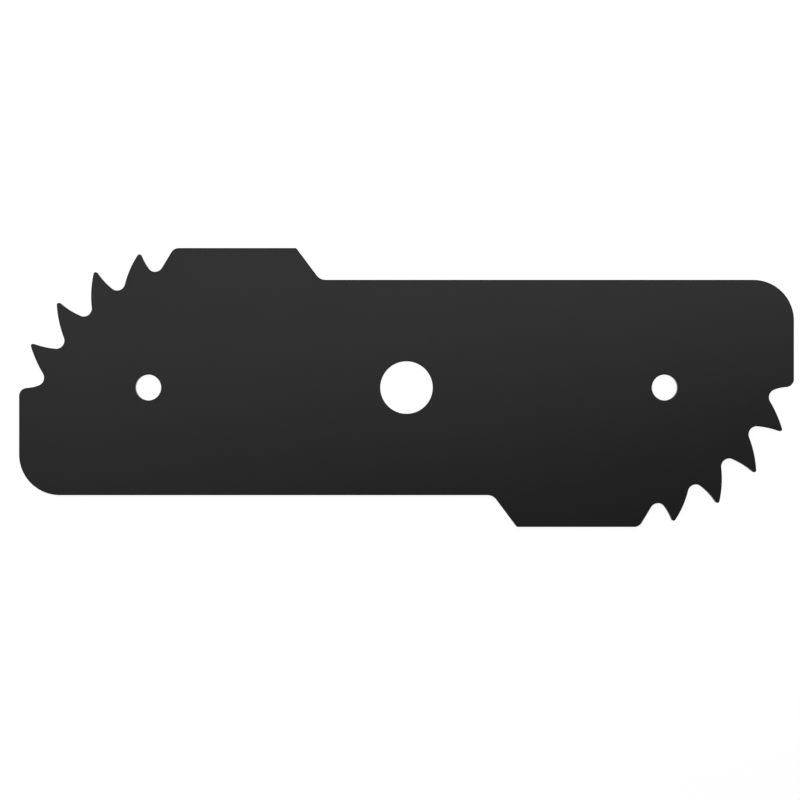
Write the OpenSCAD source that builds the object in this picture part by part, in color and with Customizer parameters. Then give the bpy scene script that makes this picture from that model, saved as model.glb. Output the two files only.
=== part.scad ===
// Lawn edger blade: one flat steel plate. Each end has a plain rounded corner, a shoulder,
// a curved row of hooked teeth and a raised cutting land that ends in a step. One end is the
// other turned half a turn about the arbor. The blade lies flat with X along its length and
// Z up, and the middle of its arbor hole is over the origin.

/* [Plate] */
// Length over both ends
overall_l = 190.5; // [180:0.5:240]
// Width over the two cutting lands
overall_w = 68.58; // [66:0.01:74]
// Width between the two long edges
body_w = 52.95; // [50:0.05:56]
// Thickness of the plate
thickness = 3; // [2:0.1:5]
// Radius of the plain corner at each end
corner_r = 10; // [6:0.5:14]
// Radius of the softened edge where a face meets the rim or a hole
arris_r = 0.3; // [0.1:0.05:0.4]

/* [Holes] */
// Diameter of the arbor hole
arbor_d = 12.9; // [12:0.1:20]
// Diameter of the hole near each end
side_d = 6.35; // [5:0.05:9]
// Distance between the two side holes
side_pitch = 127; // [100:0.5:134]

/* [Teeth] */
// Number of teeth at each end
teeth = 4; // [2:1:4]
// Radius of a gullet, the round hollow between two teeth
gullet_r = 2; // [1.5:0.1:2.2]
// Radius of the arc that the gullets' centres lie on
gullet_arc_r = 51.2; // [50:0.1:52]
// Least distance of that arc from the end and from the line of the land
gullet_arc_gap = [0.1, 0.6]; // [0:0.1:1.2]
// Angle along that arc from the end of the blade to the first gullet
gullet_first = 22.9; // [22.4:0.1:23.4]
// Angle from each gullet to the next
gullet_step = 11.66; // [11.5:0.02:11.8]
// Radius of a tooth's rounded tip
tip_r = 0.5; // [0.45:0.05:0.7]
// Radius of the arc that the tips' centres lie on
tip_arc_r = 38.05; // [37.5:0.05:38.5]
// Least distance of that arc from the end and from the line of the land
tip_arc_gap = [0.3, 1]; // [0:0.1:1.2]
// Angle along that arc from the end of the blade to the first tip
tip_first = 23.24; // [22.8:0.02:23.6]
// Angle from the first tip to the second
tip_step = 18.04; // [17.8:0.02:18.2]
// How much less each later step is than the one before it
tip_step_loss = 0.23; // [0:0.01:0.4]
// Radius of the first tooth's bulging flank
front_r = 30; // [26:0.5:40]
// How much that radius drops from tooth to tooth
front_r_drop = 2.5; // [0:0.1:4]
// Radius of the first tooth's hollow flank
back_r = 22; // [20:0.5:30]
// How much that radius drops from tooth to tooth
back_r_drop = 3; // [0:0.1:4]

/* [Shoulder] */
// Radius of the shoulder that the row of teeth starts from
shoulder_r = 2; // [1:0.1:2.2]
// How far the shoulder's centre lies below that of the first gullet
shoulder_fall = 4.5; // [4.2:0.1:6]
// Radius of the hollow neck between the two
neck_r = 9.3; // [8:0.1:16]

/* [Cutting land] */
// Distance of the land's sharp heel from the middle of the blade
heel_x = 27.35; // [24:0.05:34]
// Radius of that heel
heel_r = 0.5; // [0.45:0.05:2]
// Distance along the blade from the last gullet to the land's toe
toe_run = 5.86; // [5.4:0.02:8]
// Radius of the land's toe
toe_r = 2.15; // [1:0.05:3]
// Distance of the step's root from the middle of the blade
step_x = 19.9; // [16:0.1:22]
// Radius of the fillet at that root
step_r = 2.7; // [1:0.1:4]

/* [Hidden] */

// Furthest that a flat facet may stray from the arc it stands for
facet_gap = 0.006;
// Facets across the softened edge
arris_facets = 2;
// Facets round a hole
hole_facets = 96;
// How far a hole's cutter runs past each face
overrun = 1;
// Circles this near to touching count as touching
touch_gap = 0.001;
coating_grey = 0.19;

end_x = -overall_l/2;
land_y = overall_w/2;
edge_y = body_w/2;
gullet_arc_at = [end_x + gullet_arc_r + gullet_arc_gap.x, land_y - gullet_arc_r - gullet_arc_gap.y];
tip_arc_at = [end_x + tip_arc_r + tip_arc_gap.x, land_y - tip_arc_r - tip_arc_gap.y];

// The outline is a belt drawn anticlockwise round circles [x, y, r]. It bends left round a
// circle of positive r, which makes a convex corner, and right round one of negative r,
// which makes a hollow one. Circles that don't touch are joined by a straight tangent.

function middle(c) = [c.x, c.y];

// Direction of the belt on its way from circle p to circle q
function heading(p, q) =
    let (gap = middle(q) - middle(p), lean = (q[2] - p[2])/norm(gap))
    atan2(gap.y, gap.x) - asin(max(-1, min(1, lean)));

// Circle of signed radius r that touches p and q, so that the belt bends all the way
function bridge(p, q, r) =
    let (
        gap = middle(q) - middle(p),
        span = norm(gap),
        ahead = gap/span,
        left = [-ahead.y, ahead.x],
        from_p = abs(r - p[2]),
        from_q = abs(r - q[2]),
        run = (from_p^2 - from_q^2 + span^2)/(2*span),
        at = middle(p) + run*ahead + sign(r)*sqrt(from_p^2 - run^2)*left
    )
    [at.x, at.y, r];

function touching(p, q) = norm(middle(q) - middle(p)) < abs(q[2] - p[2]) + touch_gap;

// The same angle between -180 and 180
function wrapped(a) = (a % 360 + 540) % 360 - 180;

// Number of facets for an arc of signed radius r that turns by this angle
function facets(r, turn) = max(2, ceil(abs(turn)/(2*acos(1 - facet_gap/abs(r)))));

// Points of the belt, moved inwards by inset. Their number is the same for every inset.
function belt(circles, inset) =
    let (count = len(circles))
    [
        for (i = [0:count - 1])
            let (
                c = circles[i],
                before = circles[(i + count - 1) % count],
                after = circles[(i + 1) % count],
                start = heading(before, c),
                turn = wrapped(heading(c, after) - start),
                n = facets(c[2], turn)
            )
            for (k = [touching(before, c) ? 1 : 0:n])
                let (a = start + turn*k/n)
                middle(c) + (c[2] - inset)*[sin(a), -cos(a)]
    ];

// Circle of radius r at an angle along an arc, from the end of the blade (0) to the land (90)
function on_arc(centre, arc_r, angle, r) = [centre.x - arc_r*cos(angle), centre.y + arc_r*sin(angle), r];

// Gullet k, counted from the end of the blade
function gullet(k) = on_arc(gullet_arc_at, gullet_arc_r, gullet_first + k*gullet_step, -gullet_r);

// Tip of tooth k. Each step after the first has lost one tip_step_loss more.
function tip(k) =
    let (lost = tip_step_loss*k*(k - 1)/2)
    on_arc(tip_arc_at, tip_arc_r, tip_first + k*tip_step - lost, tip_r);

// Circles of tooth k, from its hollow flank round to the gullet in front of it
function tooth(k) = [
    bridge(gullet(k + 1), tip(k), k*back_r_drop - back_r),
    tip(k),
    bridge(tip(k), gullet(k), front_r - k*front_r_drop),
    gullet(k)
];

shoulder = [end_x + shoulder_r, gullet(0).y - shoulder_fall, shoulder_r];

// Circles of the end at -X, from the root of its step round to its plain corner
one_end = [
    [-step_x, edge_y + step_r, -step_r],
    [-heel_x, land_y - heel_r, heel_r],
    [gullet(teeth).x + toe_run, land_y - toe_r, toe_r],
    gullet(teeth),
    for (k = [teeth - 1:-1:0]) each tooth(k),
    bridge(gullet(0), shoulder, -neck_r),
    shoulder,
    [end_x + corner_r, corner_r - edge_y, corner_r]
];
both_ends = [each one_end, for (c = one_end) [-c.x, -c.y, c[2]]];

// Section through an edge of the plate as [inset, height], from the underside to the top
lower_arris = [
    for (k = [0:arris_facets])
        let (a = 90*k/arris_facets)
        arris_r*[1 - sin(a), 1 - cos(a)]
];
upper_arris = [for (k = [arris_facets:-1:0]) [lower_arris[k].x, thickness - lower_arris[k].y]];
edge_section = [each lower_arris, each upper_arris];

// A point inside the plate that every point of one end's outline can be seen from
hub = [end_x + 0.6*body_w, -edge_y/2];

// Triangles of a flat face inside a loop of n points. Each half of the loop is a fan about
// its hub, and two more triangles fill the space between the hubs.
function fans(loop_at, hubs_at, n) = [
    for (half = [0, 1], i = [0:n/2 - 1])
        [hubs_at + half, loop_at + half*n/2 + i, loop_at + (half*n/2 + i + 1) % n],
    for (half = [0, 1])
        [hubs_at + half, loop_at + (1 - half)*n/2, hubs_at + 1 - half]
];

function reversed(face) = [for (i = [len(face) - 1:-1:0]) face[i]];

// The plate without its holes: a skin over one loop for each point of the edge's section
module plate() {
    loops = [for (e = edge_section) [for (p = belt(both_ends, e.x)) [p.x, p.y, e.y]]];
    n = len(loops[0]);
    top = len(loops) - 1;
    hubs_at = len(loops)*n;
    hubs = [for (z = [0, thickness], side = [1, -1]) [side*hub.x, side*hub.y, z]];
    rim = [
        for (j = [0:top - 1], i = [0:n - 1])
            let (next = (i + 1) % n)
            [j*n + i, (j + 1)*n + i, (j + 1)*n + next, j*n + next]
    ];
    underside = fans(0, hubs_at, n);
    top_side = [for (face = fans(top*n, hubs_at + 2, n)) reversed(face)];
    polyhedron([for (loop = loops) each loop, each hubs], [each rim, each underside, each top_side]);
}

// Cutter for a round hole that leaves the same softened edge at both faces
module hole(d) {
    mouth = d/2 + arris_r;
    wall = [for (e = edge_section) [d/2 + e.x, e.y]];
    below = [[0, -overrun], [mouth, -overrun]];
    above = [[mouth, thickness + overrun], [0, thickness + overrun]];
    rotate_extrude($fn = hole_facets)
        polygon([each below, each wall, each above]);
}

module blade() {
    color([coating_grey, coating_grey, coating_grey])
        difference() {
            plate();
            hole(arbor_d);
            for (side = [-1, 1])
                translate([side*side_pitch/2, 0, 0])
                    hole(side_d);
        }
}

blade();
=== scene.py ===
"""Looks of the edger blade: a fine mesh of the plate, its satin black coating, and the studio."""

import math

import bpy
import numpy as np
from mathutils import Matrix, Vector
from mathutils.geometry import delaunay_2d_cdt


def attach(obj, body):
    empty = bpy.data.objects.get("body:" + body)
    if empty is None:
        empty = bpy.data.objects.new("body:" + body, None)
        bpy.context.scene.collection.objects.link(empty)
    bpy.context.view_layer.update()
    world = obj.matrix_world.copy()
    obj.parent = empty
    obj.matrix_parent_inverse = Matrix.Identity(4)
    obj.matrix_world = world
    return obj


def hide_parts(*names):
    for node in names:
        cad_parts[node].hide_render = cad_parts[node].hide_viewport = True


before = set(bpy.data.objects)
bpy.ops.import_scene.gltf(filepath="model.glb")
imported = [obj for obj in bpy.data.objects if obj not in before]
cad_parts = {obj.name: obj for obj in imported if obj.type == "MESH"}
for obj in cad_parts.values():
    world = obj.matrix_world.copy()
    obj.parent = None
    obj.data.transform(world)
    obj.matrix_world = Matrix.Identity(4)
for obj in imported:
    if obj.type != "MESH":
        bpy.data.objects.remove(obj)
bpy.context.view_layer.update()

MM = 0.001

# The plate's sizes in millimetres, the same as the CAD model's
OVERALL_L, OVERALL_W, BODY_W, THICKNESS = 190.5, 68.58, 52.95, 3.0
CORNER_R, ARRIS_R = 10.0, 0.3
ARBOR_D, SIDE_D, SIDE_PITCH = 12.9, 6.35, 127.0
TEETH, GULLET_R, GULLET_ARC_R, GULLET_ARC_GAP = 4, 2.0, 51.2, (0.1, 0.6)
GULLET_FIRST, GULLET_STEP = 22.9, 11.66
TIP_R, TIP_ARC_R, TIP_ARC_GAP = 0.5, 38.05, (0.3, 1.0)
TIP_FIRST, TIP_STEP, TIP_STEP_LOSS = 23.24, 18.04, 0.23
FRONT_R, FRONT_R_DROP, BACK_R, BACK_R_DROP = 30.0, 2.5, 22.0, 3.0
SHOULDER_R, SHOULDER_FALL, NECK_R = 2.0, 4.5, 9.3
HEEL_X, HEEL_R, TOE_RUN, TOE_R, STEP_X, STEP_R = 27.35, 0.5, 5.86, 2.15, 19.9, 2.7

# How fine the mesh is
FACET_GAP = 0.003  # furthest that a facet strays from its arc, in mm
ARRIS_FACETS = 5
HOLE_FACETS = {ARBOR_D: 144, SIDE_D: 96}
FACE_GRID = 6.0  # distance between the points inside the flat faces, in mm

END_X, LAND_Y, EDGE_Y = -OVERALL_L / 2, OVERALL_W / 2, BODY_W / 2


def heading(p, q):
    """Direction of the belt on its way from circle p to circle q, in radians."""
    dx, dy = q[0] - p[0], q[1] - p[1]
    lean = (q[2] - p[2]) / math.hypot(dx, dy)
    return math.atan2(dy, dx) - math.asin(max(-1.0, min(1.0, lean)))


def bridge(p, q, r):
    """Circle of signed radius r that touches p and q, so that the belt bends all the way."""
    dx, dy = q[0] - p[0], q[1] - p[1]
    span = math.hypot(dx, dy)
    ux, uy = dx / span, dy / span
    from_p, from_q = abs(r - p[2]), abs(r - q[2])
    run = (from_p**2 - from_q**2 + span**2) / (2 * span)
    rise = math.copysign(math.sqrt(from_p**2 - run**2), r)
    return (p[0] + run * ux - rise * uy, p[1] + run * uy + rise * ux, r)


def touching(p, q):
    return math.hypot(q[0] - p[0], q[1] - p[1]) < abs(q[2] - p[2]) + 0.001


def belt(circles):
    """Points and outward normals of a belt drawn anticlockwise round signed circles."""
    points, normals = [], []
    for i, c in enumerate(circles):
        before, after = circles[i - 1], circles[(i + 1) % len(circles)]
        start = heading(before, c)
        turn = (heading(c, after) - start + math.pi) % (2 * math.pi) - math.pi
        n = max(2, math.ceil(abs(turn) / (2 * math.acos(1 - FACET_GAP / abs(c[2])))))
        for k in range(1 if touching(before, c) else 0, n + 1):
            a = start + turn * k / n
            out = (math.sin(a), -math.cos(a))
            points.append((c[0] + c[2] * out[0], c[1] + c[2] * out[1]))
            normals.append(out)
    return np.array(points), np.array(normals)


def on_arc(centre, arc_r, angle, r):
    a = math.radians(angle)
    return (centre[0] - arc_r * math.cos(a), centre[1] + arc_r * math.sin(a), r)


def blade_circles():
    """The signed circles that the blade's outline runs round, as in the CAD model."""
    gullet_at = (END_X + GULLET_ARC_R + GULLET_ARC_GAP[0], LAND_Y - GULLET_ARC_R - GULLET_ARC_GAP[1])
    tip_at = (END_X + TIP_ARC_R + TIP_ARC_GAP[0], LAND_Y - TIP_ARC_R - TIP_ARC_GAP[1])
    gullets = [
        on_arc(gullet_at, GULLET_ARC_R, GULLET_FIRST + k * GULLET_STEP, -GULLET_R)
        for k in range(TEETH + 1)
    ]
    tips = [
        on_arc(tip_at, TIP_ARC_R, TIP_FIRST + k * TIP_STEP - TIP_STEP_LOSS * k * (k - 1) / 2, TIP_R)
        for k in range(TEETH)
    ]
    shoulder = (END_X + SHOULDER_R, gullets[0][1] - SHOULDER_FALL, SHOULDER_R)
    one_end = [
        (-STEP_X, EDGE_Y + STEP_R, -STEP_R),
        (-HEEL_X, LAND_Y - HEEL_R, HEEL_R),
        (gullets[-1][0] + TOE_RUN, LAND_Y - TOE_R, TOE_R),
        gullets[-1],
    ]
    for k in reversed(range(TEETH)):
        one_end += [
            bridge(gullets[k + 1], tips[k], k * BACK_R_DROP - BACK_R),
            tips[k],
            bridge(tips[k], gullets[k], FRONT_R - k * FRONT_R_DROP),
            gullets[k],
        ]
    one_end += [
        bridge(gullets[0], shoulder, -NECK_R),
        shoulder,
        (END_X + CORNER_R, CORNER_R - EDGE_Y, CORNER_R),
    ]
    return one_end + [(-x, -y, r) for x, y, r in one_end]


def hole_ring(x, d):
    """Points and normals of a hole's edge. The normals point away from the steel."""
    n = HOLE_FACETS[d]
    a = -np.arange(n) * 2 * math.pi / n
    spoke = np.stack([np.cos(a), np.sin(a)], 1)
    return spoke * d / 2 + (x, 0), -spoke


def edge_section():
    """(inset, height, outward share, upward share) of each loop round an edge, from below."""
    quarter = [math.pi / 2 * k / ARRIS_FACETS for k in range(ARRIS_FACETS + 1)]
    low = [
        (ARRIS_R * (1 - math.sin(a)), ARRIS_R * (1 - math.cos(a)), math.sin(a), -math.cos(a))
        for a in quarter
    ]
    high = [(inset, THICKNESS - z, out, -up) for inset, z, out, up in reversed(low)]
    return low + high


def flat_face(loops):
    """Triangles of the flat face inside the first loop and outside the others, with a sparse
    grid of points of its own. Returns all its points and the triangles."""
    edges, points = [], []
    for loop in loops:
        at = len(points)
        points += [Vector(p) for p in loop]
        edges += [(at + i, at + (i + 1) % len(loop)) for i in range(len(loop))]
    border = np.array([tuple(p) for p in points])
    xs = np.arange(END_X + FACE_GRID / 2, -END_X, FACE_GRID)
    ys = np.arange(-LAND_Y + FACE_GRID / 2, LAND_Y, FACE_GRID)
    for x in xs:
        for y in ys:
            if inside((x, y), loops) and np.hypot(*(border - (x, y)).T).min() > FACE_GRID * 0.45:
                points.append(Vector((x, y)))
    verts, _, faces, *_ = delaunay_2d_cdt(points, edges, [], 1, 1e-7)
    if len(verts) != len(points):
        raise RuntimeError("the outline crosses itself")
    kept = [f for f in faces if inside(sum((verts[i] for i in f), Vector((0, 0))) / 3, loops)]
    return [tuple(v) for v in verts], kept


def inside(p, loops):
    """True if p is in the first loop and in none of the others."""
    x, y = p

    def winds(loop):
        px, py = loop[:, 0], loop[:, 1]
        qx, qy = np.roll(px, -1), np.roll(py, -1)
        spans = (py > y) != (qy > y)
        cross = px + (y - py) * (qx - px) / np.where(qy == py, 1, qy - py)
        return (spans & (x < cross)).sum() % 2 == 1

    return winds(loops[0]) and not any(winds(loop) for loop in loops[1:])


def blade_mesh():
    """The plate as one closed mesh, with the true normal of the curved form at each point."""
    holes = ((0, ARBOR_D), (-SIDE_PITCH / 2, SIDE_D), (SIDE_PITCH / 2, SIDE_D))
    rings = [belt(blade_circles())]
    rings += [hole_ring(x, d) for x, d in holes]
    section = edge_section()
    verts, normals, faces = [], [], []
    first_loops, last_loops = [], []
    for points, out in rings:
        n = len(points)
        start = len(verts)
        for inset, z, outward, upward in section:
            for p, o in zip(points - inset * out, out):
                verts.append((p[0], p[1], z))
                normals.append((o[0] * outward, o[1] * outward, upward))
        for j in range(len(section) - 1):
            for i in range(n):
                a, b = start + j * n + i, start + j * n + (i + 1) % n
                faces.append((a, b, b + n, a + n))
        first_loops.append(range(start, start + n))
        last_loops.append(range(start + (len(section) - 1) * n, start + len(section) * n))
    flats = [points - ARRIS_R * out for points, out in rings]
    face_points, triangles = flat_face(flats)
    border = sum(len(loop) for loop in flats)
    for z, up, loops in ((0.0, -1.0, first_loops), (THICKNESS, 1.0, last_loops)):
        index = [i for loop in loops for i in loop]
        for p in face_points[border:]:
            index.append(len(verts))
            verts.append((p[0], p[1], z))
            normals.append((0.0, 0.0, up))
        for t in triangles:
            t = [index[i] for i in t]
            faces.append(tuple(t if up > 0 else reversed(t)))
    mesh = bpy.data.meshes.new("blade_fine")
    mesh.from_pydata([tuple(c * MM for c in v) for v in verts], [], faces)
    mesh.validate()
    mesh.shade_smooth()
    mesh.normals_split_custom_set_from_vertices(normals)
    return mesh


def new_material(name):
    material = bpy.data.materials.new(name)
    material.use_nodes = True
    material.node_tree.nodes.clear()
    return material, material.node_tree.nodes, material.node_tree.links


def noise(nodes, links, vector, scale, detail=2.0, roughness=0.5):
    node = nodes.new("ShaderNodeTexNoise")
    node.inputs["Scale"].default_value = scale
    node.inputs["Detail"].default_value = detail
    node.inputs["Roughness"].default_value = roughness
    links.new(vector, node.inputs["Vector"])
    return node.outputs["Fac"]


def ranged(nodes, links, value, low, high, start=0.3, end=0.7):
    """value from start to end, turned into low to high."""
    node = nodes.new("ShaderNodeMapRange")
    node.inputs["From Min"].default_value = start
    node.inputs["From Max"].default_value = end
    node.inputs["To Min"].default_value = low
    node.inputs["To Max"].default_value = high
    links.new(value, node.inputs["Value"])
    return node.outputs["Result"]


def bump(nodes, links, height, distance, strength, below=None):
    node = nodes.new("ShaderNodeBump")
    node.inputs["Distance"].default_value = distance
    node.inputs["Strength"].default_value = strength
    links.new(height, node.inputs["Height"])
    if below is not None:
        links.new(below, node.inputs["Normal"])
    return node.outputs["Normal"]


def coating():
    """Satin black coating on steel: fine orange peel on it, and cut marks under it on the walls."""
    material, nodes, links = new_material("satin_black_coating")
    place = nodes.new("ShaderNodeTexCoord")
    where = place.outputs["Object"]
    shader = nodes.new("ShaderNodeBsdfPrincipled")
    shader.inputs["Specular IOR Level"].default_value = 0.25
    output = nodes.new("ShaderNodeOutputMaterial")
    links.new(shader.outputs["BSDF"], output.inputs["Surface"])

    cloud = noise(nodes, links, where, 60.0, 4.0)
    tint = nodes.new("ShaderNodeMix")
    tint.data_type = "RGBA"
    tint.inputs["A"].default_value = (0.0112, 0.0112, 0.0112, 1)
    tint.inputs["B"].default_value = (0.0128, 0.0128, 0.0128, 1)
    links.new(ranged(nodes, links, cloud, 0.0, 1.0), tint.inputs["Factor"])
    links.new(tint.outputs["Result"], shader.inputs["Base Color"])

    peel = noise(nodes, links, where, 700.0, 2.0)
    grain = noise(nodes, links, where, 4000.0, 2.0)
    links.new(ranged(nodes, links, grain, 0.41, 0.49), shader.inputs["Roughness"])

    streak = nodes.new("ShaderNodeMapping")
    streak.inputs["Scale"].default_value = (1.0, 1.0, 0.06)
    links.new(where, streak.inputs["Vector"])
    cut = noise(nodes, links, streak.outputs["Vector"], 2500.0, 3.0)
    facing = nodes.new("ShaderNodeSeparateXYZ")
    links.new(place.outputs["Normal"], facing.inputs[0])
    upward = nodes.new("ShaderNodeMath")
    upward.operation = "ABSOLUTE"
    links.new(facing.outputs["Z"], upward.inputs[0])
    on_wall = nodes.new("ShaderNodeMath")
    on_wall.operation = "MULTIPLY"
    links.new(cut, on_wall.inputs[0])
    links.new(ranged(nodes, links, upward.outputs[0], 1.0, 0.0, 0.1, 0.6), on_wall.inputs[1])

    normal = bump(nodes, links, on_wall.outputs[0], 0.00006, 0.6)
    normal = bump(nodes, links, peel, 0.00006, 0.3, normal)
    normal = bump(nodes, links, grain, 0.00001, 0.3, normal)
    links.new(normal, shader.inputs["Normal"])
    return material


def pale_floor():
    """Pale matte floor. What the camera, gloss and glass see of it glows up to white and keeps
    a faint shadow, and nothing shows from below."""
    material, nodes, links = new_material("pale_floor")
    path = nodes.new("ShaderNodeLightPath")
    seen = path.outputs["Is Camera Ray"]
    for other in ("Is Glossy Ray", "Is Transmission Ray"):
        either = nodes.new("ShaderNodeMath")
        either.operation = "MAXIMUM"
        links.new(seen, either.inputs[0])
        links.new(path.outputs[other], either.inputs[1])
        seen = either.outputs[0]
    pale = nodes.new("ShaderNodeBsdfDiffuse")
    pale.inputs["Color"].default_value = (0.8, 0.8, 0.8, 1)
    faint = nodes.new("ShaderNodeBsdfDiffuse")
    faint.inputs["Color"].default_value = (0.25, 0.25, 0.25, 1)
    glow = nodes.new("ShaderNodeEmission")
    glow.inputs["Strength"].default_value = 0.92
    white = nodes.new("ShaderNodeAddShader")
    links.new(faint.outputs[0], white.inputs[0])
    links.new(glow.outputs[0], white.inputs[1])
    by_ray = nodes.new("ShaderNodeMixShader")
    links.new(seen, by_ray.inputs[0])
    links.new(pale.outputs[0], by_ray.inputs[1])
    links.new(white.outputs[0], by_ray.inputs[2])
    by_side = nodes.new("ShaderNodeMixShader")
    links.new(nodes.new("ShaderNodeNewGeometry").outputs["Backfacing"], by_side.inputs[0])
    links.new(by_ray.outputs[0], by_side.inputs[1])
    links.new(nodes.new("ShaderNodeBsdfTransparent").outputs[0], by_side.inputs[2])
    output = nodes.new("ShaderNodeOutputMaterial")
    links.new(by_side.outputs[0], output.inputs["Surface"])
    return material


# The blade
blade = bpy.data.objects.new("blade_fine", blade_mesh())
bpy.context.scene.collection.objects.link(blade)
coat = coating()
blade.data.materials.append(coat)
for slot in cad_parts["blade"].material_slots:
    slot.material = coat
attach(blade, "root")
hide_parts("blade")

# The studio
floor_mesh = bpy.data.meshes.new("floor")
reach = 12.0
floor_corners = [(-reach, -reach, 0), (reach, -reach, 0), (reach, reach, 0), (-reach, reach, 0)]
floor_mesh.from_pydata(floor_corners, [], [(0, 1, 2, 3)])
floor = bpy.data.objects.new("floor", floor_mesh)
floor.location.z = -0.0002
floor_mesh.materials.append(pale_floor())
bpy.context.scene.collection.objects.link(floor)


def softbox(name, at, aim, roll, width, height, radiance):
    """Rectangular lamp that looks from at to aim, turned by roll, with the given radiance."""
    lamp = bpy.data.lights.new(name, "AREA")
    lamp.shape = "RECTANGLE"
    lamp.size, lamp.size_y = width, height
    lamp.energy = radiance * math.pi * width * height
    ahead = (Vector(aim) - Vector(at)).normalized()
    side = ahead.cross(Vector((0, 1, 0))).normalized()
    turn = Matrix.Rotation(roll, 3, ahead) @ Matrix((side, side.cross(ahead), -ahead)).transposed()
    body = bpy.data.objects.new(name, lamp)
    body.matrix_world = Matrix.Translation(at) @ turn.to_4x4()
    body.visible_camera = False
    bpy.context.scene.collection.objects.link(body)
    return body


softbox("key", (-0.072, 0.050, 0.247), (-0.178, 0.30, 0.0), -0.207, 0.576, 0.194, 2.00)

world = bpy.data.worlds.new("studio")
world.use_nodes = True
sky, joins = world.node_tree.nodes, world.node_tree.links
height = sky.new("ShaderNodeSeparateXYZ")
joins.new(sky.new("ShaderNodeTexCoord").outputs["Generated"], height.inputs[0])
around = sky["Background"]
around.inputs["Color"].default_value = (1, 1, 1, 1)
# Bright at the horizon and dim overhead
dimmed = ranged(sky, joins, height.outputs["Z"], 1.0, 0.12, 0.26, 0.50)
joins.new(dimmed, around.inputs["Strength"])
bpy.context.scene.world = world
bpy.context.scene.view_settings.view_transform = "Standard"

# The camera, straight above as in the photograph
lens = bpy.data.cameras.new("camera")
lens.sensor_width = 36.0
lens.lens = 128.0
camera = bpy.data.objects.new("camera", lens)
camera.location = (-0.00160, -0.00307, 0.003 + 0.69896)
bpy.context.scene.collection.objects.link(camera)
bpy.context.scene.camera = camera
